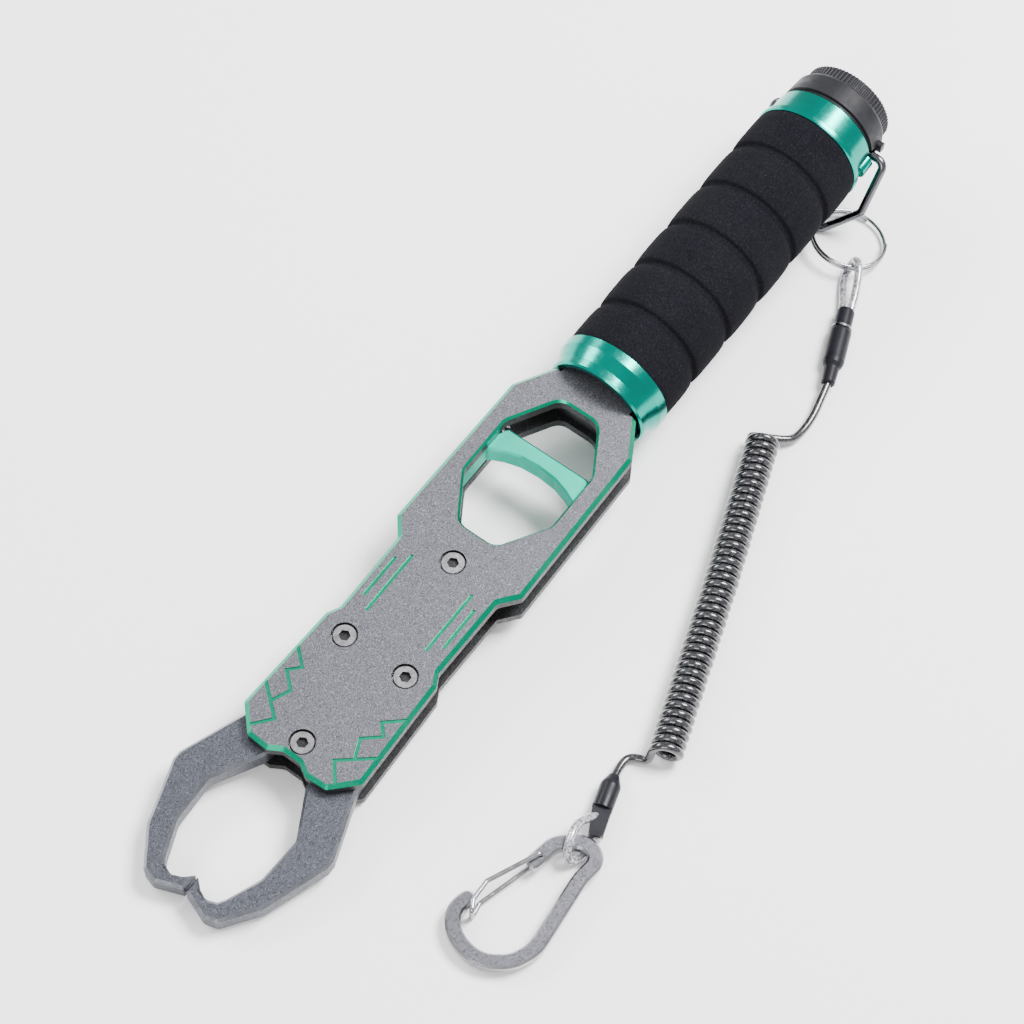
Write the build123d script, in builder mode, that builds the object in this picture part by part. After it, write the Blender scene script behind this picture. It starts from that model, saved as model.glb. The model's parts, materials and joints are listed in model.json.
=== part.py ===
"""Fish lip grip: plier jaws between two plates, a foam-covered handle, and a coiled lanyard.

Row frame: +Z up, the floor is z = 0, +X runs from the jaws to the tail knob.
The tool lies nose down on the lower front edge of its plates and on the front collar,
so its own frame (TOOL) is tilted a few degrees. In TOOL, x = 0 is the front spacer,
z = 0 is the middle of the plate sandwich, and the handle's axis is the x axis.
The lanyard lies on the floor on the -Y side.
"""
from build123d import *
from math import asin, atan2, cos, degrees, hypot, pi, radians, sin, tan
import os

os.makedirs("parts", exist_ok=True)

# ---------------------------------------------------------------- driving sizes (mm)
GAP = 6.2                      # clear height between the two plates
PLATE = 3.2                    # thickness of each plate
TOP = GAP / 2 + PLATE          # outer face of a plate above the middle plane
BEVEL = 1.0                    # bevel around a plate's outer face
OPENING_BEVEL = 0.6            # bevel around the finger opening

PIVOT_X, PIVOT_Y = 26.9, 8.8   # the two jaw pivots
REAR_SPACER_X = 56.8
SCREW_R = 1.5
HEAD_R, HEAD_H = 2.95, 1.4
COUNTERBORE_R, COUNTERBORE_DEPTH = 3.2, 1.7

JAW = 5.4                      # jaw thickness
JAW_BEVEL = 0.7
JAW_OPEN = 25.0                # degrees that each jaw opens
TRIGGER_TRAVEL = 9.0
DRAG_PIN_X, DRAG_PIN_R = 40.0, 1.5
SLOT_PLAY = 0.1                # radial play of the drag pin in the jaw slots
TAIL_LOW, TAIL_HIGH = 0.1, 1.55    # a jaw's tail is a half lap above or below the middle plane
DRAW_LOW, DRAW_HIGH = 1.75, 2.9    # the draw plates run outside both jaw tails
BUSH_R = 2.5

COLLAR_FRONT_X, COLLAR_REAR_X, COLLAR_R = 114.2, 122.3, 15.3
FOAM_END_X, CAP_X, KNOB_X, KNOB_END_X = 204.8, 213.2, 220.8, 224.3
FOAM_R, TUBE_R, TUBE_BORE = 15.0, 9.2, 8.2
PLUG_R, CAP_R, KNOB_R = 12.2, 13.7, 12.2
GROOVE_X, GROOVE_PITCH, GROOVES = 134.7, 14.25, 5
RIBS = 72

BAIL_X, BAIL_WIRE_R, BAIL_REACH = 214.4, 1.1, 24.3

CORD_R = 1.05                  # coated steel cord
COIL_R = 4.35                  # outer radius of the curly cord
FLOOR_PLAY = 0.03              # what lies on the floor stays this far above it

# ---------------------------------------------------------------- the tilted tool frame
FRONT_EDGE_X = -5.1            # lower front edge of the plates, inside the bevel
TILT = atan2(COLLAR_R - TOP, COLLAR_REAR_X - FRONT_EDGE_X)
C, S = cos(TILT), sin(TILT)
JAW_FRONT_X = -45.2
HEIGHT = COLLAR_R * C - COLLAR_REAR_X * S
MIDDLE = -((KNOB_END_X + JAW_FRONT_X) * C + (KNOB_R - JAW / 2) * S) / 2
TOOL = Plane(origin=(MIDDLE, 0, HEIGHT), x_dir=(C, 0, S), z_dir=(-S, 0, C))
SIDE = Plane(origin=TOOL.origin, x_dir=TOOL.x_dir, z_dir=-TOOL.y_dir)   # x along, y up
HANDLE_AXIS = Axis(TOOL.origin, TOOL.x_dir)
TOOL_UP = Axis(TOOL.origin, TOOL.z_dir)


def tool_point(x, y=0.0, z=0.0):
    """Row coordinates of a point given in the tool's own frame."""
    return TOOL.from_local_coords(Vector(x, y, z))


def level(height, x=0.0, y=0.0):
    """Plane parallel to the plates, at a height above their middle, centred at x, y."""
    return Plane(origin=tool_point(x, y, height), x_dir=TOOL.x_dir, z_dir=TOOL.z_dir)


def across(x):
    """Plane square to the handle's axis at x: its local x is the tool's y axis."""
    return Plane(origin=tool_point(x), x_dir=TOOL.y_dir, z_dir=TOOL.x_dir)


def mirrored(points):
    """Close a half outline (y > 0) over the tool's centre line."""
    return points + [(x, -y) for x, y in reversed(points)]


def flipped(points, side):
    return [(x, side * y) for x, y in points]


def polygon(points, radius=0.0):
    """Face from an outline, with every corner rounded alike."""
    Polygon(*points, align=None)
    if radius > 0:
        fillet(vertices(), radius)


def save(builder, name):
    builder.part.label = name
    export_step(builder.part, f"parts/{name}.step")
    print(f"{name}: {builder.part.volume:.1f} mm3, {len(builder.part.solids())} solids")


def turned(name, profile):
    """A part turned about the handle's axis from (x, radius) points."""
    with BuildPart() as part:
        with BuildSketch(SIDE):
            polygon(profile)
        revolve(axis=HANDLE_AXIS)
    return part


# ---------------------------------------------------------------- plates
PLATE_HALF = [(-4.2, 2.4), (-6.1, 5.6), (-5.8, 11.3), (0.2, 17.1), (29.2, 16.0), (32.4, 14.3),
              (54.5, 14.5), (59.2, 18.3), (104.0, 17.7), (113.4, 12.2), (113.4, 10.0), (119.3, 10.0)]
OPENING_HALF = [(66.1, 5.2), (78.3, 12.8), (94.5, 12.8), (107.2, 5.4)]
STRIPES = [[(38.0, 11.55), (49.5, 11.55)], [(35.2, 8.7), (52.3, 8.7)]]
ZIGZAGS = [[(18.2, 15.6), (14.6, 11.5), (12.0, 14.0), (8.5, 10.0), (4.0, 12.0)],
           [(7.4, 16.6), (0.75, 8.6), (-4.4, 12.9)]]
ENGRAVED_W, ENGRAVED_DEPTH = 0.84, 0.25
PIVOTS = [(PIVOT_X, PIVOT_Y), (PIVOT_X, -PIVOT_Y)]
SCREWS = [(0, 0), (REAR_SPACER_X, 0)] + PIVOTS


def plate(name, outward):
    """One side plate; outward is +1 for the top plate and -1 for the bottom one."""
    outer = level(outward * TOP)
    with BuildPart() as part:
        with BuildSketch(outer):
            with BuildLine():
                Polyline(*mirrored(PLATE_HALF), close=True)
            make_face()
            fillet(vertices().filter_by(lambda v: v.X < 112), 1.4)
        extrude(amount=-outward * PLATE)
        rim = part.faces().sort_by(TOOL_UP)[-1 if outward > 0 else 0].edges()
        chamfer(rim.filter_by(lambda e: TOOL.to_local_coords(e.center()).X < 113), BEVEL)
        with BuildSketch(outer):
            polygon(mirrored(OPENING_HALF), 4.0)
        extrude(amount=-outward * PLATE, mode=Mode.SUBTRACT)
        rim = part.faces().sort_by(TOOL_UP)[-1 if outward > 0 else 0].inner_wires()[0].edges()
        chamfer(rim, OPENING_BEVEL)
        with BuildSketch(outer):
            with Locations(*SCREWS):
                Circle(SCREW_R)
        extrude(amount=-outward * PLATE, mode=Mode.SUBTRACT)
        if outward > 0:
            with BuildSketch(outer):
                with Locations(*SCREWS):
                    Circle(COUNTERBORE_R)
            extrude(amount=-COUNTERBORE_DEPTH, mode=Mode.SUBTRACT)
            with BuildSketch(outer):
                for side in (1, -1):
                    for line in STRIPES + ZIGZAGS:
                        points = flipped(line, side)
                        with BuildLine():
                            Polyline(*points)
                        trace(line_width=ENGRAVED_W)
                        with Locations(*points):
                            Circle(ENGRAVED_W / 2)
            extrude(amount=-ENGRAVED_DEPTH, mode=Mode.SUBTRACT)
    save(part, name)


plate("front_plate", 1)
plate("rear_plate", -1)

# ---------------------------------------------------------------- screws, spacers, bushes
with BuildPart() as plate_screws:
    with BuildSketch(level(TOP - COUNTERBORE_DEPTH)):
        with Locations(*SCREWS):
            Circle(HEAD_R)
    extrude(amount=HEAD_H)
    chamfer(plate_screws.faces().sort_by(TOOL_UP)[-4:].edges(), 0.25)
    with BuildSketch(level(TOP - COUNTERBORE_DEPTH)):
        with Locations(*SCREWS):
            Circle(SCREW_R)
    extrude(amount=-(2 * TOP - COUNTERBORE_DEPTH - 0.4))
    with BuildSketch(level(TOP - COUNTERBORE_DEPTH + HEAD_H)):
        with Locations(*SCREWS):
            RegularPolygon(1.45, 6)
    extrude(amount=-0.9, mode=Mode.SUBTRACT)
save(plate_screws, "plate_screws")


def sleeve(name, places, outer_r, inner_r, spans):
    """Short tubes or washers round the screws, all in one node."""
    with BuildPart() as part:
        for low, high in spans:
            with BuildSketch(level(low)):
                with Locations(*places):
                    Circle(outer_r)
                with Locations(*places):
                    Circle(inner_r, mode=Mode.SUBTRACT)
            extrude(amount=high - low)
    save(part, name)


sleeve("front_spacer", [(0, 0)], 2.6, SCREW_R, [(-GAP / 2, GAP / 2)])
sleeve("rear_spacer", [(REAR_SPACER_X, 0)], 2.5, SCREW_R, [(-GAP / 2, GAP / 2)])
sleeve("pivot_bushes", PIVOTS, BUSH_R, SCREW_R, [(-GAP / 2, GAP / 2)])
sleeve("jaw_washers", PIVOTS, 4.5, BUSH_R, [(-GAP / 2, -JAW / 2 - 0.05), (JAW / 2 + 0.05, GAP / 2)])

# ---------------------------------------------------------------- jaws
TIP_Y = 0.35                   # half of the slit between the closed tips
JAW_OUTLINE = [
    (-38.3, TIP_Y), (-40.3, 2.5), (-41.4, 5.0), (-40.4, 7.6), (-38.6, 8.7), (-30.3, 12.1),
    (-18.6, 12.6), (-6.4, 5.9), (6.0, 4.2), (22.0, 4.0), (30.2, 5.4), (32.0, 10.4), (26.9, 13.8),
    (0.0, 15.9), (-17.2, 22.3), (-19.4, 22.3), (-35.4, 16.9), (-44.3, 10.6), (-45.2, 7.2),
    (-42.6, TIP_Y),
]
ROUNDED = [((-41.4, 5.0), 1.5), ((-30.3, 12.1), 5.0), ((-18.6, 12.6), 2.5), ((-6.4, 5.9), 4.0),
           ((30.2, 5.4), 2.0), ((32.0, 10.4), 2.0), ((0.0, 15.9), 8.0), ((-35.4, 16.9), 4.0),
           ((-44.3, 10.6), 2.0), ((-45.2, 7.2), 2.0)]
SLOT_R = DRAG_PIN_R + SLOT_PLAY
TAIL_WALL = 1.4                # metal round the slot


def slot_point(travel):
    """Where the drag pin stands in the closed left jaw's own frame after some trigger travel."""
    turn = radians(JAW_OPEN) * travel / TRIGGER_TRAVEL
    dx, dy = DRAG_PIN_X + travel - PIVOT_X, -PIVOT_Y
    return PIVOT_X + dx * cos(turn) - dy * sin(turn), PIVOT_Y + dx * sin(turn) + dy * cos(turn)


def jaw(name, side):
    """One jaw; side is +1 for the left jaw (+Y) and -1 for the right one."""
    low, high = (TAIL_LOW, TAIL_HIGH) if side > 0 else (-TAIL_HIGH, -TAIL_LOW)
    start, middle, end = flipped([slot_point(TRIGGER_TRAVEL * step) for step in (0, 0.5, 1)], side)
    slot = ThreePointArc(start, middle, end, mode=Mode.PRIVATE)
    pivot = (PIVOT_X, side * PIVOT_Y)
    with BuildPart() as part:
        with BuildSketch(level(-JAW / 2)):
            with BuildLine():
                Polyline(*flipped(JAW_OUTLINE, side), close=True)
            make_face()
            for (x, y), radius in ROUNDED:
                fillet(vertices().sort_by_distance((x, side * y))[0], radius)
        extrude(amount=JAW)
        flat = part.faces().filter_by(TOOL_UP).edges()
        chamfer(flat.filter_by(lambda e: TOOL.to_local_coords(e.center()).X < 20), JAW_BEVEL)
        with BuildSketch(level(low)):
            SlotArc(slot, 2 * (SLOT_R + TAIL_WALL))
            Polygon((pivot[0] - 3, pivot[1]), start, end, (pivot[0] + 3, pivot[1] + side * 3.0), align=None)
        extrude(amount=high - low)
        with BuildSketch(level(low)):
            SlotArc(slot, 2 * SLOT_R)
        extrude(amount=high - low, mode=Mode.SUBTRACT)
        with BuildSketch(level(-JAW / 2)):
            with Locations(pivot):
                Circle(BUSH_R + 0.05)
        extrude(amount=JAW, mode=Mode.SUBTRACT)
    save(part, name)


jaw("left_jaw", 1)
jaw("right_jaw", -1)

# ---------------------------------------------------------------- trigger and its linkage
TRIGGER_HALF_T = 2.95
RIVET_X, RIVET_Y, RIVET_R = 63.2, 12.2, 1.2
TRIGGER_HALF = [(90.6, 0.0), (90.2, 5.0), (89.0, 9.0), (87.2, 12.9), (77.5, 12.9), (72.0, 10.6),
                (66.0, 9.9), (60.4, 9.9), (60.4, 13.6), (64.0, 15.2), (92.6, 15.2), (92.6, 12.9), (94.8, 11.8)]
DRAW_HALF = [(36.8, 1.6), (39.0, 3.6), (43.0, 4.2), (52.0, 11.4), (57.5, 13.7), (65.4, 14.4),
             (66.2, 12.4), (65.0, 10.0), (59.5, 9.4), (46.0, 3.2), (43.2, 1.4)]

with BuildPart() as trigger:
    with BuildSketch(level(-TRIGGER_HALF_T)):
        polygon(mirrored(TRIGGER_HALF))
        for corner_x, corner_y in [(87.2, 12.9), (94.8, 11.8)]:
            for corner_side in (1, -1):
                fillet(vertices().sort_by_distance((corner_x, corner_side * corner_y))[0], 1.2)
    extrude(amount=2 * TRIGGER_HALF_T)
    bar_edges = trigger.faces().filter_by(TOOL_UP).edges()
    chamfer(bar_edges.filter_by(lambda e: TOOL.to_local_coords(e.center()).X > 87.9), 0.5)
    for band_low in (-TRIGGER_HALF_T, DRAW_LOW - 0.05):
        with BuildSketch(level(band_low)):
            with Locations((63.4, 0)):
                Rectangle(7.4, 40)
        extrude(amount=TRIGGER_HALF_T - DRAW_LOW + 0.05, mode=Mode.SUBTRACT)
    with BuildSketch(level(-TRIGGER_HALF_T)):
        with Locations((RIVET_X, RIVET_Y), (RIVET_X, -RIVET_Y)):
            Circle(RIVET_R)
    extrude(amount=2 * TRIGGER_HALF_T, mode=Mode.SUBTRACT)
save(trigger, "trigger")

with BuildPart() as draw_plates:
    for band_low in (-DRAW_HIGH, DRAW_LOW):
        with BuildSketch(level(band_low)):
            with BuildLine():
                Polyline(*mirrored(DRAW_HALF[:7][::-1]), close=True)
            make_face()
            with BuildLine():
                Polyline(*mirrored(DRAW_HALF[6:]), close=True)
            make_face(mode=Mode.SUBTRACT)
            with Locations((RIVET_X, RIVET_Y), (RIVET_X, -RIVET_Y)):
                Circle(RIVET_R, mode=Mode.SUBTRACT)
            with Locations((DRAG_PIN_X, 0)):
                Circle(DRAG_PIN_R, mode=Mode.SUBTRACT)
        extrude(amount=DRAW_HIGH - DRAW_LOW)
save(draw_plates, "draw_plates")

with BuildPart() as link_rivets:
    with BuildSketch(level(-DRAW_HIGH)):
        with Locations((RIVET_X, RIVET_Y), (RIVET_X, -RIVET_Y)):
            Circle(RIVET_R)
    extrude(amount=2 * DRAW_HIGH)
save(link_rivets, "link_rivets")

with BuildPart() as drag_pin:
    with BuildSketch(level(-DRAW_HIGH)):
        with Locations((DRAG_PIN_X, 0)):
            Circle(DRAG_PIN_R)
    extrude(amount=2 * DRAW_HIGH)
save(drag_pin, "drag_pin")

# ---------------------------------------------------------------- tang and return springs
TANG_END_X, SPRING_Y, SPRING_R, SPRING_WIRE_R, SPRING_TURNS = 119.3, 14.2, 1.5, 0.22, 7
SPRING_L = 11.2
TANG_HALF = [(104.4, 12.0), (104.4, 15.9), (107.0, 15.2), (112.8, 11.6), (112.8, 9.5), (TANG_END_X, 9.5),
             (TANG_END_X, -9.5), (112.8, -9.5), (112.8, -11.6), (107.0, -15.2), (104.4, -15.9),
             (104.4, -12.0), (108.6, -8.4), (108.6, 8.4)]
with BuildPart() as tang_block:
    with BuildSketch(level(-GAP / 2)):
        polygon(TANG_HALF)
    extrude(amount=GAP)
    with BuildSketch(across(TANG_END_X)):
        Circle(1.6)
    extrude(amount=-9.0, mode=Mode.SUBTRACT)
save(tang_block, "tang_block")

with BuildPart() as return_springs:
    for spring_side in (1, -1):
        with BuildLine():
            spring_coil = Helix(pitch=SPRING_L / SPRING_TURNS, height=SPRING_L, radius=SPRING_R - SPRING_WIRE_R,
                                center=tool_point(92.9, spring_side * SPRING_Y), direction=TOOL.x_dir)
        with BuildSketch(Plane(origin=spring_coil @ 0, z_dir=spring_coil % 0)):
            Circle(SPRING_WIRE_R)
        sweep(path=spring_coil, is_frenet=True)
save(return_springs, "return_springs")

# ---------------------------------------------------------------- handle
front_collar = turned("front_collar", [
    (COLLAR_FRONT_X, PLUG_R), (COLLAR_FRONT_X, 13.3), (114.7, 13.7), (116.6, 13.9), (118.6, 14.6),
    (119.8, COLLAR_R - 0.2), (COLLAR_REAR_X, COLLAR_R), (COLLAR_REAR_X, PLUG_R)])
save(front_collar, "front_collar")

front_plug = turned("front_plug", [
    (119.4, 2.1), (119.4, PLUG_R), (COLLAR_REAR_X, PLUG_R), (COLLAR_REAR_X, TUBE_BORE),
    (141.0, TUBE_BORE), (141.0, 3.8), (123.0, 3.8), (123.0, 2.1)])
save(front_plug, "front_plug")

tang_screw = turned("tang_screw", [(110.6, 0), (110.6, 1.6), (119.35, 1.6), (119.35, 2.0), (123.0, 2.0),
                                   (123.0, 3.4), (126.4, 3.4), (126.4, 0)])
save(tang_screw, "tang_screw")

handle_tube = turned("handle_tube", [(122.35, TUBE_BORE), (122.35, TUBE_R), (207.0, TUBE_R),
                                     (207.0, TUBE_BORE)])
save(handle_tube, "handle_tube")

foam_profile = [(122.4, TUBE_R), (122.4, FOAM_R - 0.4), (122.8, FOAM_R)]
for groove in range(GROOVES):
    groove_x = GROOVE_X + groove * GROOVE_PITCH
    foam_profile += [(groove_x - 1.3, FOAM_R), (groove_x - 0.7, FOAM_R - 1.0), (groove_x + 0.7, FOAM_R - 1.0),
                     (groove_x + 1.3, FOAM_R)]
foam_profile += [(FOAM_END_X - 0.5, FOAM_R), (FOAM_END_X - 0.1, FOAM_R - 0.4), (FOAM_END_X - 0.1, TUBE_R)]
foam_grip = turned("foam_grip", foam_profile)
save(foam_grip, "foam_grip")

BAIL_SEAT_R = BAIL_WIRE_R + 0.1
with BuildPart() as rear_collar:
    with BuildSketch(SIDE):
        polygon([(FOAM_END_X, TUBE_R), (FOAM_END_X, 14.7), (205.1, 15.0), (206.2, 15.0), (206.8, 14.2),
                 (CAP_X - 0.4, 13.9), (CAP_X, 13.6), (CAP_X, 10.5), (207.1, 10.5), (207.1, TUBE_R)])
    revolve(axis=HANDLE_AXIS)
    with BuildSketch(across(208.2)):
        with Locations((-13.2, 0)):
            Circle(2.2)
    extrude(amount=4.0)
save(rear_collar, "rear_collar")

rear_plug = turned("rear_plug", [
    (188.0, 2.4), (188.0, TUBE_BORE), (207.1, TUBE_BORE), (207.1, 10.4), (CAP_X, 10.4), (CAP_X, 2.4)])
save(rear_plug, "rear_plug")

CAP_END_X = KNOB_X - 0.2
with BuildPart() as end_cap:
    with BuildSketch(SIDE):
        polygon([(CAP_X, 2.4), (CAP_X, 13.0), (CAP_X + 0.9, 13.0), (CAP_X + 1.2, CAP_R),
                 (CAP_END_X - 0.7, 13.3), (CAP_END_X, 12.9), (CAP_END_X, 2.4)])
    revolve(axis=HANDLE_AXIS)
    for seat_side in (1, -1):      # each end of the bail turns in a slot that opens to the front
        for seat_y, seat_r in ((10.5, BAIL_SEAT_R), (12.9, 1.9)):
            seat = Plane(origin=tool_point(BAIL_X, seat_side * seat_y), x_dir=TOOL.x_dir,
                         z_dir=TOOL.y_dir * seat_side)
            with BuildSketch(seat):
                Circle(seat_r)
                with Locations((-1.5, 0)):
                    Rectangle(3.0, 2 * seat_r)
            extrude(amount=4, mode=Mode.SUBTRACT)
    with BuildSketch(Plane(origin=tool_point(217.6, -14.8, 0.4), x_dir=TOOL.x_dir, z_dir=TOOL.y_dir)):
        Rectangle(2.0, 2.8)
        fillet(vertices(), 0.6)
    extrude(amount=2.2)
save(end_cap, "end_cap")

with BuildPart() as tail_knob:
    with BuildSketch(across(KNOB_X)):
        Circle(KNOB_R)
        with PolarLocations(KNOB_R + 0.22, RIBS):
            Circle(0.45, mode=Mode.SUBTRACT)
        Circle(3.1, mode=Mode.SUBTRACT)
    extrude(amount=KNOB_END_X - KNOB_X)
    with BuildSketch(across(KNOB_END_X)):
        Circle(5.2)
    extrude(amount=-2.0, mode=Mode.SUBTRACT)
save(tail_knob, "tail_knob")

knob_screw = turned("knob_screw", [
    (190.0, 0), (190.0, 2.4), (CAP_END_X, 2.4), (CAP_END_X, 3.0), (KNOB_END_X - 1.9, 3.0),
    (KNOB_END_X - 1.9, 4.9), (KNOB_END_X - 0.4, 4.9), (KNOB_END_X - 0.4, 0)])
save(knob_screw, "knob_screw")

# ---------------------------------------------------------------- bail and split ring
bail_pivot = tool_point(BAIL_X)
BAIL_DROP = asin((bail_pivot.Z - BAIL_WIRE_R - FLOOR_PLAY) / BAIL_REACH)
BAIL_PLANE = Plane(origin=bail_pivot, x_dir=(-cos(BAIL_DROP), 0, -sin(BAIL_DROP)),
                   z_dir=(sin(BAIL_DROP), 0, -cos(BAIL_DROP)))
BAIL_LINE = [(0, 10.8), (0, 15.2), (14.9, 15.2), (BAIL_REACH, 7.4), (BAIL_REACH, -10.15), (14.9, -17.75),
             (0, -17.75), (0, -10.8)]     # it has slid towards the lanyard, so it is not symmetric

with BuildPart() as bail:
    with BuildLine(BAIL_PLANE):
        bail_path = FilletPolyline(*BAIL_LINE, radius=2.2)
    with BuildSketch(Plane(origin=bail_path @ 0, z_dir=bail_path % 0)):
        Circle(BAIL_WIRE_R)
    sweep(path=bail_path)
save(bail, "bail")

RING_X, RING_Y, RING_Z = 111.4, -18.1, 2.16      # centre of the lowest turn
RING_SLOPE = (-0.157, 0.076)   # it leans on the bail's foot and on the lanyard's loop
RING_R, RING_WIRE_R = 9.6, 0.46
RING_NORMAL = (-RING_SLOPE[0], -RING_SLOPE[1], 1)
with BuildPart() as split_ring:
    with BuildLine():
        ring_path = Helix(pitch=0.98, height=1.8, radius=RING_R, center=(RING_X, RING_Y, RING_Z),
                          direction=RING_NORMAL)
    with BuildSketch(Plane(origin=ring_path @ 0, z_dir=ring_path % 0)):
        Circle(RING_WIRE_R)
    sweep(path=ring_path, is_frenet=True)
save(split_ring, "split_ring")

# ---------------------------------------------------------------- lanyard
UPPER_LOOP = [(91.07, -31.48, 3.35), (94.7, -30.3, 3.55), (98.9, -28.6, 4.8), (102.4, -26.8, 6.2),
              (104.9, -24.9, 6.5), (106.1, -23.6, 4.9), (105.9, -22.9, 2.7), (104.2, -22.9, 1.35),
              (101.8, -23.5, 1.15), (98.6, -25.2, 1.2), (94.2, -28.2, 1.7), (90.41, -29.8, 2.05)]
UPPER_TAIL = [(72.0, -38.05, 2.75), (62.0, -40.4, 1.3), (56.0, -40.7, 1.3), (50.9, -39.3, 3.0),
              (49.7, -38.8, 3.9)]
COIL = [(47.4, -35.1, 4.4), (7.2, -49.8, 4.4), (-38.3, -65.4, 4.4)]
LOWER_TAIL = [(-39.2, -67.4, 2.1), (-40.0, -64.2, 1.3), (-40.9, -58.9, 1.3), (-44.0, -57.7, 1.3),
              (-49.8, -59.0, 2.05)]
LOWER_LOOP = [(-58.6, -62.2, 2.5), (-61.6, -60.4, 3.4), (-65.2, -59.7, 5.9), (-69.2, -60.6, 6.6),
              (-72.3, -61.9, 5.2), (-72.9, -62.9, 2.8), (-71.4, -63.8, 1.28), (-68.6, -64.6, 1.14),
              (-65.4, -65.0, 1.3), (-62.2, -64.2, 2.3)]


def loop(name, points):
    """A short end of the cord, bent through what it holds."""
    with BuildPart() as part:
        with BuildLine():
            line = Spline(*points)
        with BuildSketch(Plane(origin=line @ 0, z_dir=line % 0)):
            Circle(CORD_R)
        sweep(path=line)
    save(part, name)
    return part.part


def route(name, points, radius):
    """A round tube of straight runs joined by tangent arcs; prints what was swept."""
    runs = [(Vector(*b) - Vector(*a)).length for a, b in zip(points, points[1:])]
    bends = []
    for a, b, c in zip(points, points[1:], points[2:]):
        turn = radians((Vector(*b) - Vector(*a)).get_angle(Vector(*c) - Vector(*b)))
        shorter = min((Vector(*b) - Vector(*a)).length, (Vector(*c) - Vector(*b)).length)
        bends.append(0.45 * shorter / tan(turn / 2))
    with BuildPart() as part:
        with BuildLine():
            line = FilletPolyline(*points, radius=bends)
        with BuildSketch(Plane(origin=line @ 0, z_dir=line % 0)):
            Circle(radius)
        sweep(path=line)
    swept = pi * radius ** 2 * line.length
    print(f"{name}: runs {[round(r, 1) for r in runs]}, bends {[round(b, 1) for b in bends]}, "
          f"volume {part.part.volume:.1f} of {swept:.1f}")
    save(part, name)
    return part.part


upper_loop = loop("upper_loop", UPPER_LOOP)
cord_upper_tail = route("cord_upper_tail", UPPER_TAIL, CORD_R)
route("cord_coil", COIL, COIL_R)
cord_lower_tail = route("cord_lower_tail", LOWER_TAIL, CORD_R)
lower_loop = loop("lower_loop", LOWER_LOOP)


def between(start, end):
    """Plane at start whose local y axis points to end and whose local x axis is level."""
    along = (Vector(*end) - Vector(*start)).normalized()
    sideways = Vector(along.Y, -along.X, 0).normalized()
    return Plane(origin=start, x_dir=sideways, z_dir=sideways.cross(along))


SLEEVE_START, SLEEVE_END = (92.6, -29.9, 2.8), (71.4, -38.3, 2.8)
sleeve_plane = between(SLEEVE_START, SLEEVE_END)
sleeve_axis = Axis(sleeve_plane.origin, sleeve_plane.y_dir)
with BuildPart() as upper_sleeve:
    with BuildSketch(sleeve_plane):
        polygon([(0, 0), (2.2, 0), (2.3, 0.4), (2.3, 6.0), (2.6, 6.2), (2.75, 6.8), (2.75, 15.8), (2.5, 16.8),
                 (1.9, 17.9), (1.75, 22.4), (1.5, 22.8), (0, 22.8)])
    revolve(axis=sleeve_axis)
    add(upper_loop, mode=Mode.SUBTRACT)
    add(cord_upper_tail, mode=Mode.SUBTRACT)
save(upper_sleeve, "upper_sleeve")

with BuildPart() as sleeve_ring:
    with BuildSketch(sleeve_plane):
        polygon([(2.31, 5.2), (2.55, 5.2), (2.65, 5.35), (2.65, 5.95), (2.31, 5.95)])
    revolve(axis=sleeve_axis)
save(sleeve_ring, "sleeve_ring")

LOW_SLEEVE = [(-49.0, -58.8, 2.5), (-57.6, -61.4, 2.6), (-64.6, -64.4, 2.4)]
low_plane = between(LOW_SLEEVE[0], LOW_SLEEVE[1])
tail_plane = between(LOW_SLEEVE[1], LOW_SLEEVE[2])
with BuildPart() as lower_sleeve:
    with BuildSketch(low_plane):
        polygon([(0, 0), (1.3, 0), (1.45, 0.4), (2.3, 2.2), (2.45, 2.8), (2.45, 9.0), (0, 9.0)])
    revolve(axis=Axis(low_plane.origin, low_plane.y_dir))
    with BuildSketch(tail_plane):
        polygon([(-2.35, -0.4), (-1.7, 6.8), (-1.2, 7.3), (1.2, 7.3), (1.7, 6.8), (2.35, -0.4)])
    extrude(amount=1.35, both=True)
    add(lower_loop, mode=Mode.SUBTRACT)
    add(cord_lower_tail, mode=Mode.SUBTRACT)
save(lower_sleeve, "lower_sleeve")

# ---------------------------------------------------------------- carabiner
HOOK_T, HOOK_BAND, HOOK_LEAN = 2.8, 3.6, radians(1.8)   # it lies on its gate and on the lanyard's loop
HOOK_TIP_X, HOOK_MID_Y = -105.0, -60.0
HOOK = Plane(origin=(HOOK_TIP_X, HOOK_MID_Y, 1.13), x_dir=(cos(HOOK_LEAN), 0, sin(HOOK_LEAN)),
             z_dir=(-sin(HOOK_LEAN), 0, cos(HOOK_LEAN)))
HOOK_LINE = [(10.6, 9.6), (6.6, 10.9), (1.44, 6.48), (0.06, -1.35), (4.34, -7.47), (10.0, -9.8), (29.6, -7.9),
             (36.9, -8.7), (37.6, -2.9), (33.2, 1.9), (26.8, 2.9)]
HOOK_BENDS = [6.0, 9.0, 9.0, 9.0, 9.0, 12.0, 3.4, 4.8, 5.0]
GATE_PIVOT = (28.9, 2.6)
GATE_WIRE_R = 0.6

with BuildPart() as carabiner:
    with BuildSketch(HOOK):
        with BuildLine():
            FilletPolyline(*HOOK_LINE, radius=HOOK_BENDS)
            offset(amount=HOOK_BAND / 2, side=Side.BOTH)
        make_face()
    extrude(amount=HOOK_T)
    chamfer(carabiner.faces().filter_by(Axis(HOOK.origin, HOOK.z_dir)).edges(), 0.5)
    with BuildSketch(HOOK):
        with Locations(GATE_PIVOT):
            Circle(GATE_WIRE_R + 0.1)
    extrude(amount=HOOK_T, mode=Mode.SUBTRACT)
save(carabiner, "carabiner")

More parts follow.
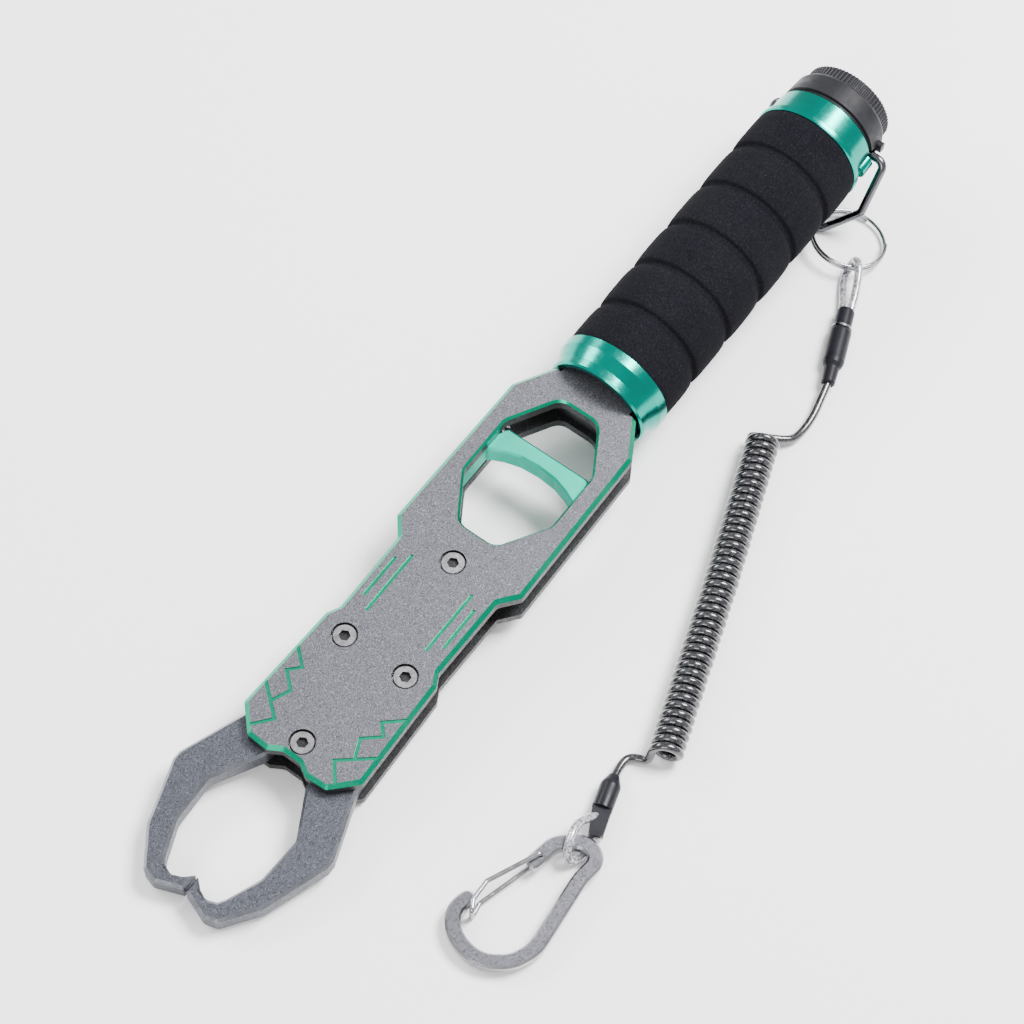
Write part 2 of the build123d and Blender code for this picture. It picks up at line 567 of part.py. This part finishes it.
GATE_ABOVE, GATE_BELOW = HOOK_T + GATE_WIRE_R + 0.15, -GATE_WIRE_R - 0.15
GATE_NOSE = (8.4, 6.6)
with BuildPart() as carabiner_gate:
    with BuildLine(HOOK):
        gate_path = FilletPolyline(
            (*GATE_PIVOT, HOOK_T - 1.0), (*GATE_PIVOT, GATE_ABOVE), (16.0, 8.2, GATE_ABOVE),
            (10.6, 8.0, GATE_ABOVE), (*GATE_NOSE, GATE_ABOVE), (*GATE_NOSE, GATE_BELOW),
            (12.2, 7.2, GATE_BELOW), (*GATE_PIVOT, GATE_BELOW), (*GATE_PIVOT, 1.0), radius=0.62)
    with BuildSketch(Plane(origin=gate_path @ 0, z_dir=gate_path % 0)):
        Circle(GATE_WIRE_R)
    sweep(path=gate_path)
save(carabiner_gate, "carabiner_gate")

print(f"tilt {degrees(TILT):.3f} deg, tool origin ({MIDDLE:.3f}, 0, {HEIGHT:.3f})")
print(f"bail hangs {degrees(BAIL_DROP):.2f} deg below level, pivot {tuple(bail_pivot)}")
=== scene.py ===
"""Looks of the fish lip grip: materials, foam, curly cord, light and camera around the CAD frame."""
import json
import math

import bmesh
import bpy
from mathutils import Matrix, Vector, noise


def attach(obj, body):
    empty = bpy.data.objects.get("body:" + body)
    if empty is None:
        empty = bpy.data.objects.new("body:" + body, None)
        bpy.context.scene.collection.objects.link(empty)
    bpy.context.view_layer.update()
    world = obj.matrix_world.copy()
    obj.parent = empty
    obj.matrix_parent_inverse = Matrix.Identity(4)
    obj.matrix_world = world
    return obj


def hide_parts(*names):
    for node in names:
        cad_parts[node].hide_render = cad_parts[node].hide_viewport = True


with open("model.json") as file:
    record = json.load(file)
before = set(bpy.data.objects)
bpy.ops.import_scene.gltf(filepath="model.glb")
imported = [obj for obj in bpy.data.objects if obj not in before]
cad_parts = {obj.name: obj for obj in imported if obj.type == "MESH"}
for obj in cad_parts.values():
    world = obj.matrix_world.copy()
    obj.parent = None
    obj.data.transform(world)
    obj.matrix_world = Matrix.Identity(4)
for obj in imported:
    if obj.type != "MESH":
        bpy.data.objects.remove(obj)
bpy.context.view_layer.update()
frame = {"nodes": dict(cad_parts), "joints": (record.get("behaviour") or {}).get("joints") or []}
nodes = frame["nodes"]
MM = 0.001

# ---------------------------------------------------------------- the tilted tool frame
joints = {joint["name"]: joint for joint in frame["joints"]}
TOOL_X = Vector(joints["tail_knob_turn"]["axis"]).normalized()
TOOL_Y = Vector((0, 1, 0))
TOOL_Z = TOOL_X.cross(TOOL_Y)
BAIL_X = 214.4 * MM            # the bail's pivot, along the tool from its front screw
TOOL_ORIGIN = Vector(joints["bail_swing"]["pos_m"]) - BAIL_X * TOOL_X
PLATE_TOP = 6.3 * MM           # the outer face of a plate above the tool's middle plane


def tool_point(x, y=0.0, z=0.0):
    """Row coordinates of a point given in the tool's own frame."""
    return TOOL_ORIGIN + x * TOOL_X + y * TOOL_Y + z * TOOL_Z


def in_tool(point):
    """The tool's own coordinates of a point in the row frame."""
    offset = Vector(point) - TOOL_ORIGIN
    return Vector((offset.dot(TOOL_X), offset.dot(TOOL_Y), offset.dot(TOOL_Z)))


# ---------------------------------------------------------------- materials
class Shader:
    """A Principled material whose nodes are added one line at a time."""

    def __init__(self, name, colour, roughness, metallic=0.0):
        self.material = bpy.data.materials.new(name)
        self.material.use_nodes = True
        self.nodes = self.material.node_tree.nodes
        self.links = self.material.node_tree.links
        self.shader = self.nodes["Principled BSDF"]
        self.shader.inputs["Base Color"].default_value = (*colour, 1)
        self.shader.inputs["Roughness"].default_value = roughness
        self.shader.inputs["Metallic"].default_value = metallic
        self.place = self.nodes.new("ShaderNodeTexCoord").outputs["Object"]
        self.normal = None

    def noise(self, scale, detail=2.0, roughness=0.5, stretch=None):
        """Noise in the row frame; scale is in features per metre."""
        texture = self.nodes.new("ShaderNodeTexNoise")
        texture.inputs["Scale"].default_value = scale
        texture.inputs["Detail"].default_value = detail
        texture.inputs["Roughness"].default_value = roughness
        place = self.place
        if stretch:
            mapping = self.nodes.new("ShaderNodeMapping")
            mapping.inputs["Scale"].default_value = stretch
            self.links.new(place, mapping.inputs["Vector"])
            place = mapping.outputs["Vector"]
        self.links.new(place, texture.inputs["Vector"])
        return texture.outputs["Fac"]

    def ramp(self, value, stops):
        """Colour ramp from (position, colour) stops."""
        ramp = self.nodes.new("ShaderNodeValToRGB")
        elements = ramp.color_ramp.elements
        while len(elements) < len(stops):
            elements.new(0.5)
        for element, (position, colour) in zip(elements, stops):
            element.position = position
            element.color = (*colour, 1)
        self.links.new(value, ramp.inputs["Fac"])
        return ramp.outputs["Color"]

    def range(self, value, low, high, start=0.3, end=0.7):
        """Maps a value of start..end to low..high."""
        node = self.nodes.new("ShaderNodeMapRange")
        node.inputs["From Min"].default_value = start
        node.inputs["From Max"].default_value = end
        node.inputs["To Min"].default_value = low
        node.inputs["To Max"].default_value = high
        self.links.new(value, node.inputs["Value"])
        return node.outputs["Result"]

    def mix(self, factor, first, second):
        """Mixes two colour outputs by a value."""
        node = self.nodes.new("ShaderNodeMix")
        node.data_type = "RGBA"
        self.links.new(factor, node.inputs["Factor"])
        self.links.new(first, node.inputs["A"])
        self.links.new(second, node.inputs["B"])
        return node.outputs["Result"]

    def set(self, socket, value):
        """Feeds one of the shader's sockets from a node's output."""
        self.links.new(value, self.shader.inputs[socket])

    def fix(self, **values):
        """Sets plain numbers or colours: underscores stand for spaces in a socket's name."""
        for name, value in values.items():
            self.shader.inputs[name.replace("_", " ")].default_value = value

    def bump(self, height, distance, strength=1.0):
        """Adds a bump; distance is the height of the relief in metres."""
        node = self.nodes.new("ShaderNodeBump")
        node.inputs["Strength"].default_value = strength
        node.inputs["Distance"].default_value = distance
        self.links.new(height, node.inputs["Height"])
        if self.normal:
            self.links.new(self.normal, node.inputs["Normal"])
        self.normal = node.outputs["Normal"]
        self.links.new(self.normal, self.shader.inputs["Normal"])


def blasted(name, dark, mid, light, roughness):
    """Bead-blasted anodised metal: fine sparkling grain."""
    m = Shader(name, mid, roughness, 0.75)
    grain = m.noise(4000, 1.0, 0.6)
    m.set("Base Color", m.ramp(grain, [(0.28, dark), (0.47, mid), (0.57, mid), (0.76, light)]))
    m.set("Roughness", m.range(m.noise(1500, 2.0), roughness - 0.10, roughness + 0.12))
    m.bump(grain, 0.02 * MM, 0.35)
    return m.material


def anodised(name, colour, roughness, brush=False):
    """Dyed anodising over machined metal, with faint tone changes and turning marks."""
    m = Shader(name, colour, roughness, 1.0)
    shade = tuple(0.72 * c for c in colour)
    m.set("Base Color", m.ramp(m.noise(90, 3.0), [(0.25, shade), (0.75, colour)]))
    m.set("Roughness", m.range(m.noise(1200, 2.0), roughness - 0.02, roughness + 0.03))
    if brush:
        m.bump(m.noise(400, 2.0, stretch=(22, 1, 1)), 0.01 * MM, 0.25)
    else:
        m.bump(m.noise(3500, 1.0), 0.008 * MM, 0.25)
    return m.material


def machined(name, colour, roughness):
    """Bare turned or drawn metal with fine scratches and dulled patches."""
    m = Shader(name, colour, roughness, 1.0)
    shade = tuple(0.7 * c for c in colour)
    m.set("Base Color", m.ramp(m.noise(160, 4.0, 0.6), [(0.3, shade), (0.6, colour)]))
    m.set("Roughness", m.range(m.noise(700, 4.0, 0.7), roughness - 0.07, roughness + 0.13))
    m.bump(m.noise(900, 3.0, stretch=(1, 9, 9)), 0.01 * MM, 0.3)
    return m.material


def moulded(name, colour, roughness, grain, depth):
    """Black moulded or shrunk plastic with a fine grain."""
    m = Shader(name, colour, roughness)
    lighter = tuple(1.5 * c + 0.002 for c in colour)
    m.set("Base Color", m.ramp(m.noise(220, 4.0, 0.6), [(0.3, colour), (0.8, lighter)]))
    m.set("Roughness", m.range(m.noise(grain / 3, 3.0), roughness - 0.08, roughness + 0.10))
    m.bump(m.noise(grain, 2.0), depth, 0.5)
    m.fix(Specular_IOR_Level=0.16)
    return m.material


def foam_material():
    """Closed-cell foam: dull black, pin-pricked, with faintly paler patches."""
    m = Shader("foam", (0.012, 0.012, 0.014), 0.92)
    cells = m.noise(2300, 2.0, 0.65)
    cloud = m.noise(60, 3.0, 0.6)
    tone = m.ramp(cells, [(0.35, (0.003, 0.003, 0.004)), (0.62, (0.007, 0.007, 0.010)),
                          (0.82, (0.022, 0.022, 0.026))])
    worn = m.ramp(cells, [(0.30, (0.004, 0.004, 0.005)), (0.75, (0.014, 0.014, 0.018))])
    m.set("Base Color", m.mix(m.range(cloud, 0.0, 0.55, 0.35, 0.7), tone, worn))
    m.bump(m.noise(900, 3.0, 0.6), 0.05 * MM, 0.5)
    m.bump(cells, 0.06 * MM, 0.7)
    m.fix(Specular_IOR_Level=0.05)
    return m.material


def coated_cord(name, jacket, core, roughness):
    """Steel cable seen dimly through a glossy smoke-coloured jacket."""
    m = Shader(name, jacket, roughness)
    strands = m.noise(1600, 1.0, stretch=(1, 1, 1))
    m.set("Base Color", m.ramp(strands, [(0.38, jacket), (0.66, core)]))
    m.bump(m.noise(500, 2.0), 0.02 * MM, 0.25)
    m.fix(Coat_Weight=1.0, Coat_Roughness=0.05, Metallic=0.35)
    return m.material


mats = {
    "grey": blasted("blasted_grey", (0.036, 0.037, 0.044), (0.104, 0.106, 0.122), (0.30, 0.30, 0.33), 0.46),
    "jaw": blasted("jaw_metal", (0.026, 0.028, 0.035), (0.073, 0.077, 0.094), (0.18, 0.19, 0.22), 0.40),
    "jaw_edge": machined("jaw_edge", (0.24, 0.25, 0.28), 0.26),
    "dark": blasted("dark_plate", (0.012, 0.012, 0.013), (0.030, 0.030, 0.032), (0.08, 0.08, 0.085), 0.42),
    "green": anodised("green_edge", (0.0, 0.36, 0.20), 0.30),
    "collar": anodised("collar_green", (0.0, 0.32, 0.25), 0.20, brush=True),
    "trigger": anodised("trigger_green", (0.0, 0.52, 0.37), 0.46),
    "steel": machined("screw_steel", (0.38, 0.38, 0.40), 0.28),
    "spring": machined("spring_steel", (0.45, 0.45, 0.46), 0.28),
    "brass": machined("bronze_bush", (0.55, 0.38, 0.16), 0.35),
    "inner": machined("inner_metal", (0.50, 0.50, 0.51), 0.40),
    "black": moulded("cap_black", (0.008, 0.008, 0.010), 0.46, 1800, 0.02 * MM),
    "sleeve": moulded("sleeve_black", (0.007, 0.007, 0.010), 0.36, 900, 0.03 * MM),
    # The bail's chrome base colour is darkened as a painted reflection of dark surroundings.
    "bail": machined("bail_chrome", (0.13, 0.13, 0.14), 0.14),
    "ring": machined("ring_steel", (0.36, 0.36, 0.38), 0.18),
    "hook": blasted("carabiner_metal", (0.06, 0.06, 0.075), (0.120, 0.120, 0.138), (0.22, 0.22, 0.25), 0.34),
    "foam": foam_material(),
    "cord": coated_cord("cord_black", (0.006, 0.006, 0.008), (0.045, 0.045, 0.052), 0.20),
    "loop": coated_cord("loop_clear", (0.16, 0.16, 0.18), (0.55, 0.55, 0.58), 0.12),
}


def paint(node, name):
    """Gives a whole CAD node one material."""
    nodes[node].data.materials.clear()
    nodes[node].data.materials.append(mats[name])


def paint_faces(node, names, choose):
    """Gives each face of a CAD node the material that choose(centre, normal) names."""
    mesh = nodes[node].data
    mesh.materials.clear()
    for name in names:
        mesh.materials.append(mats[name])
    for face in mesh.polygons:
        centre = in_tool(face.center)
        normal = Vector((face.normal.dot(TOOL_X), face.normal.dot(TOOL_Y), face.normal.dot(TOOL_Z)))
        face.material_index = names.index(choose(centre, normal))


PLAIN = {                            # nodes of one material
    "front_spacer": "steel", "rear_spacer": "steel", "pivot_bushes": "brass",
    "jaw_washers": "brass", "draw_plates": "steel", "link_rivets": "steel", "drag_pin": "steel",
    "tang_block": "dark", "return_springs": "spring", "front_plug": "dark", "tang_screw": "steel",
    "handle_tube": "inner", "front_collar": "collar", "rear_collar": "collar", "rear_plug": "inner",
    "end_cap": "black", "tail_knob": "black", "knob_screw": "steel", "bail": "bail", "split_ring": "ring",
    "upper_sleeve": "sleeve", "sleeve_ring": "ring", "lower_sleeve": "sleeve",
    "carabiner_gate": "ring", "trigger": "trigger", "rear_plate": "dark",
}
for node, name in PLAIN.items():
    paint(node, name)

# Size of normal.z on a flat face and on one nearly upright, and on the hook's leaning flats.
FLAT, STEEP, HOOK_FLAT = 0.98, 0.2, 0.95
# How far below the plate's face its grey, engraved, bevelled and counterbored faces may lie.
FACE_DEPTH, ENGRAVED, BEVEL_DEPTH, COUNTERBORE = 0.05 * MM, 0.3 * MM, 1.05 * MM, 2.0 * MM
# The hexagon recess of a screw head, darkened as painted shade: heights above the tool's middle plane, and
# radius.
HEX_FLOOR, HEX_TOP, HEX_R = 4.9 * MM, 5.95 * MM, 1.6 * MM
SCREWS = [(0, 0), (56.8, 0), (26.9, 8.8), (26.9, -8.8)]     # millimetres along and across the tool


def plate_face(centre, normal):
    """Grey outer face, green bevels and engraving, bare counterbores, dark everywhere else."""
    flat = abs(normal.z) > FLAT
    depth = PLATE_TOP - centre.z
    if flat and depth < FACE_DEPTH:
        return "grey"
    if depth < BEVEL_DEPTH and STEEP < abs(normal.z) < FLAT:
        return "green"
    if depth < ENGRAVED:
        return "green"
    if flat and normal.z > 0 and depth < COUNTERBORE:
        return "steel"
    return "dark"


def jaw_face(centre, normal):
    """Bare metal on the sloping edges."""
    return "jaw_edge" if STEEP < abs(normal.z) < FLAT else "jaw"


def hook_face(centre, normal):
    """Blasted flats and polished edges."""
    return "hook" if abs(normal.z) > HOOK_FLAT else "ring"


def screw_face_painted_recess_shade(centre, normal):
    """The hexagon recess of a screw head is painted dark as painted shade inside the recess."""
    if HEX_FLOOR < centre.z < HEX_TOP:
        for x, y in SCREWS:
            if math.hypot(centre.x - x * MM, centre.y - y * MM) < HEX_R:
                return "dark"
    return "steel"


# The screws' hexagon recesses get painted shade.
paint_faces("plate_screws", ["steel", "dark"], screw_face_painted_recess_shade)
paint_faces("front_plate", ["grey", "green", "steel", "dark"], plate_face)
paint_faces("carabiner", ["hook", "ring"], hook_face)
for jaw in ("left_jaw", "right_jaw"):
    paint_faces(jaw, ["jaw", "jaw_edge"], jaw_face)


# ---------------------------------------------------------------- mesh helpers
WOBBLE_SCALE = 150                   # lumps per metre of a turned ring's unevenness


def new_object(name, mesh, material):
    """Puts a mesh of one material in the scene."""
    piece = bpy.data.objects.new(name, mesh)
    bpy.context.scene.collection.objects.link(piece)
    piece.data.materials.append(material)
    return piece


def turned(name, profile, material, around, wobble):
    """A closed, slightly uneven ring turned about the handle's axis from (x, radius) points."""
    bm = bmesh.new()
    rings = []
    for x, radius in profile:
        ring = []
        for step in range(around):
            turn = math.tau * step / around
            place = tool_point(x, radius * math.cos(turn), radius * math.sin(turn))
            swell = wobble * noise.noise(place * WOBBLE_SCALE)
            ring.append(bm.verts.new(place + swell * (math.cos(turn) * TOOL_Y + math.sin(turn) * TOOL_Z)))
        rings.append(ring)
    for first, second in zip(rings, rings[1:] + rings[:1]):
        for step in range(around):
            after = (step + 1) % around
            bm.faces.new((first[step], first[after], second[after], second[step]))
    bmesh.ops.recalc_face_normals(bm, faces=bm.faces)
    mesh = bpy.data.meshes.new(name)
    bm.to_mesh(mesh)
    bm.free()
    for face in mesh.polygons:
        face.use_smooth = True
    return new_object(name, mesh, material)


# ---------------------------------------------------------------- foam grip
FOAM_FRONT, FOAM_REAR, FOAM_R, TUBE_R = 122.45 * MM, 204.65 * MM, 15.0 * MM, 9.25 * MM
GROOVE_X, GROOVE_PITCH, GROOVES = 134.7 * MM, 14.25 * MM, 5
GROOVE_HALF, GROOVE_DEPTH, CROWN = 1.15 * MM, 1.15 * MM, 0.22 * MM
LIP, LIP_IN, LIP_DROP, END_DROP = 0.35 * MM, 0.08 * MM, 0.32 * MM, 0.6 * MM    # a segment's rounded shoulders
FOOT_IN, FOOT_RISE, FOOT_RUN = 0.15 * MM, 0.25 * MM, 0.5 * MM                  # a groove's rounded foot
CROWN_STEPS = 8


def foam_profile():
    """Six slightly crowned segments between rounded grooves, then back along the tube."""
    centres = [GROOVE_X + GROOVE_PITCH * index for index in range(GROOVES)]
    fronts = [FOAM_FRONT] + [centre + GROOVE_HALF for centre in centres]
    rears = [centre - GROOVE_HALF for centre in centres] + [FOAM_REAR]
    profile = [(FOAM_FRONT, TUBE_R), (FOAM_FRONT, FOAM_R - END_DROP)]
    for front, rear in zip(fronts, rears):
        profile += [(front + LIP_IN, FOAM_R - LIP_DROP), (front + LIP, FOAM_R - CROWN)]
        for step in range(1, CROWN_STEPS):
            share = step / CROWN_STEPS
            rise = CROWN * (1 - (2 * share - 1) ** 4)
            profile.append((front + LIP + share * (rear - front - 2 * LIP), FOAM_R - CROWN + rise))
        profile += [(rear - LIP, FOAM_R - CROWN), (rear - LIP_IN, FOAM_R - LIP_DROP)]
        if rear != FOAM_REAR:
            floor = FOAM_R - GROOVE_DEPTH
            across = rear + 2 * GROOVE_HALF
            profile += [(rear + FOOT_IN, floor + FOOT_RISE), (rear + FOOT_RUN, floor),
                        (across - FOOT_RUN, floor), (across - FOOT_IN, floor + FOOT_RISE)]
    return profile + [(FOAM_REAR, FOAM_R - END_DROP), (FOAM_REAR, TUBE_R)]


foam = turned("foam_grip_skin", foam_profile(), mats["foam"], around=220, wobble=0.06 * MM)
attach(foam, "frame")
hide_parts("foam_grip")

# ---------------------------------------------------------------- lanyard
CORD_R, COIL_R, TURNS, PER_TURN = 1.05 * MM, 4.35 * MM, 40, 16
COIL_SWELL, COIL_SWELL_RATE = 0.012, 57      # the turns' radius varies by this share, so many radians along

# Control points of the cord's parts, in millimetres of the row frame.
UPPER_TAIL = [(72.0, -38.05, 2.75), (67.5, -39.1, 2.0), (62.0, -40.4, 1.3), (56.0, -40.7, 1.3),
              (52.0, -39.9, 2.2)]
COIL = [(47.4, -35.1, 4.4), (7.2, -49.8, 4.4), (-38.3, -65.4, 4.4)]
LOWER_TAIL = [(-40.6, -62.6, 1.4), (-41.9, -58.6, 1.2), (-45.0, -57.8, 1.3), (-49.8, -59.0, 2.05)]
UPPER_LOOP = [(91.07, -31.48, 3.35), (94.7, -30.3, 3.55), (98.9, -28.6, 4.8), (102.4, -26.8, 6.2),
              (104.9, -24.9, 6.5), (106.1, -23.6, 4.9), (105.9, -22.9, 2.7), (104.2, -22.9, 1.35),
              (101.8, -23.5, 1.15), (98.6, -25.2, 1.2), (94.2, -28.2, 1.7), (90.41, -29.8, 2.05)]
LOWER_LOOP = [(-58.6, -62.2, 2.5), (-61.6, -60.4, 3.4), (-65.2, -59.7, 5.9), (-69.2, -60.6, 6.6),
              (-72.3, -61.9, 5.2), (-72.9, -62.9, 2.8), (-71.4, -63.8, 1.28), (-68.6, -64.6, 1.14),
              (-65.4, -65.0, 1.3), (-62.2, -64.2, 2.3)]


def in_metres(points):
    """Vectors in metres from triples in millimetres."""
    return [Vector(point) * MM for point in points]


def spline(name, points, radius, material):
    """One smooth NURBS tube; its points carry the radius, which keeps its bounding box tight."""
    curve = bpy.data.curves.new(name, "CURVE")
    curve.dimensions = "3D"
    curve.bevel_depth = 1.0      # a factor on each point's own radius
    curve.bevel_resolution = 5
    curve.resolution_u = 6
    curve.use_fill_caps = True
    line = curve.splines.new("NURBS")
    line.points.add(len(points) - 1)
    for control, point in zip(line.points, points):
        control.co = (*point, 1)
        control.radius = radius
    line.order_u = 3
    line.use_endpoint_u = True
    curve.materials.append(material)
    piece = bpy.data.objects.new(name, curve)
    bpy.context.scene.collection.objects.link(piece)
    return piece


def along(points, share):
    """Point and direction at a share of a polyline's length."""
    runs = [(b - a).length for a, b in zip(points, points[1:])]
    left = share * sum(runs)
    for a, b, run in zip(points, points[1:], runs):
        if left <= run or b is points[-1]:
            return a.lerp(b, left / run), (b - a).normalized()
        left -= run


def coil_points():
    """The curly cord's turns round its axis, from the upper end to the lower."""
    axis = in_metres(COIL)
    result = []
    for step in range(TURNS * PER_TURN + 1):
        share = step / (TURNS * PER_TURN)
        centre, way = along(axis, share)
        side = way.cross(Vector((0, 0, 1))).normalized()
        lift = side.cross(way)
        turn = -math.tau * share * TURNS
        radius = (COIL_R - CORD_R) * (1 + COIL_SWELL * math.sin(share * COIL_SWELL_RATE))
        result.append(centre + radius * (math.cos(turn) * side + math.sin(turn) * lift))
    return result


turns = coil_points()
cord_line = in_metres(UPPER_TAIL) + turns + in_metres(LOWER_TAIL)
cord = spline("curly_cord", cord_line, CORD_R, mats["cord"])
upper_loop = spline("upper_cord_loop", in_metres(UPPER_LOOP), CORD_R, mats["loop"])
lower_loop = spline("lower_cord_loop", in_metres(LOWER_LOOP), CORD_R, mats["loop"])
for piece, replaced in ((cord, ("cord_upper_tail", "cord_coil", "cord_lower_tail")),
                        (upper_loop, ("upper_loop",)), (lower_loop, ("lower_loop",))):
    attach(piece, "lanyard")
    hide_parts(*replaced)

# ---------------------------------------------------------------- camera, floor and light
CAMERA_PLACE = Vector((-0.33734, -0.2013, 0.65302))
FORWARD = Vector((0.4366, 0.2681, -0.8588))
RIGHT = Vector((0.5926, -0.8040, 0.0503))
UP = Vector((0.6770, 0.5309, 0.5098))
FOCAL_LENGTH, SENSOR = 110.39, 36.0          # millimetres

camera_data = bpy.data.cameras.new("camera")
camera_data.lens = FOCAL_LENGTH
camera_data.sensor_width = SENSOR
camera_data.clip_start = 0.01
camera = bpy.data.objects.new("camera", camera_data)
bpy.context.scene.collection.objects.link(camera)
facing = Matrix((RIGHT, UP, -FORWARD)).transposed().to_4x4()
camera.matrix_world = Matrix.Translation(CAMERA_PLACE) @ facing
bpy.context.scene.camera = camera


def area_light(name, place, size, watts):
    """A white rectangle of light aimed at the row frame's origin."""
    data = bpy.data.lights.new(name, "AREA")
    data.shape = "RECTANGLE"
    data.size, data.size_y = size
    data.energy = watts
    light = bpy.data.objects.new(name, data)
    light.location = place
    light.rotation_euler = (-Vector(place)).to_track_quat("-Z", "Y").to_euler()
    bpy.context.scene.collection.objects.link(light)


area_light("softbox", (0.46, -0.28, 0.90), (0.45, 0.45), 31)
area_light("back", (-0.10, 0.85, 0.65), (0.8, 0.3), 10)
area_light("front", (-0.80, -0.20, 0.55), (0.4, 0.4), 4)

world = bpy.data.worlds.new("studio")
bpy.context.scene.world = world
world.use_nodes = True
world.node_tree.nodes["Background"].inputs["Color"].default_value = (1, 1, 1, 1)
world.node_tree.nodes["Background"].inputs["Strength"].default_value = 0.97

floor_mesh = bpy.data.meshes.new("floor")
FLOOR_HALF, FLOOR_Z = 3.0, -0.02 * MM
floor_mesh.from_pydata([(-FLOOR_HALF, -FLOOR_HALF, FLOOR_Z), (FLOOR_HALF, -FLOOR_HALF, FLOOR_Z),
                        (FLOOR_HALF, FLOOR_HALF, FLOOR_Z), (-FLOOR_HALF, FLOOR_HALF, FLOOR_Z)],
                       [], [(0, 1, 2, 3)])
floor_shader = Shader("floor", (0.96, 0.96, 0.96), 0.8)
floor = new_object("floor", floor_mesh, floor_shader.material)

bpy.context.view_layer.update()
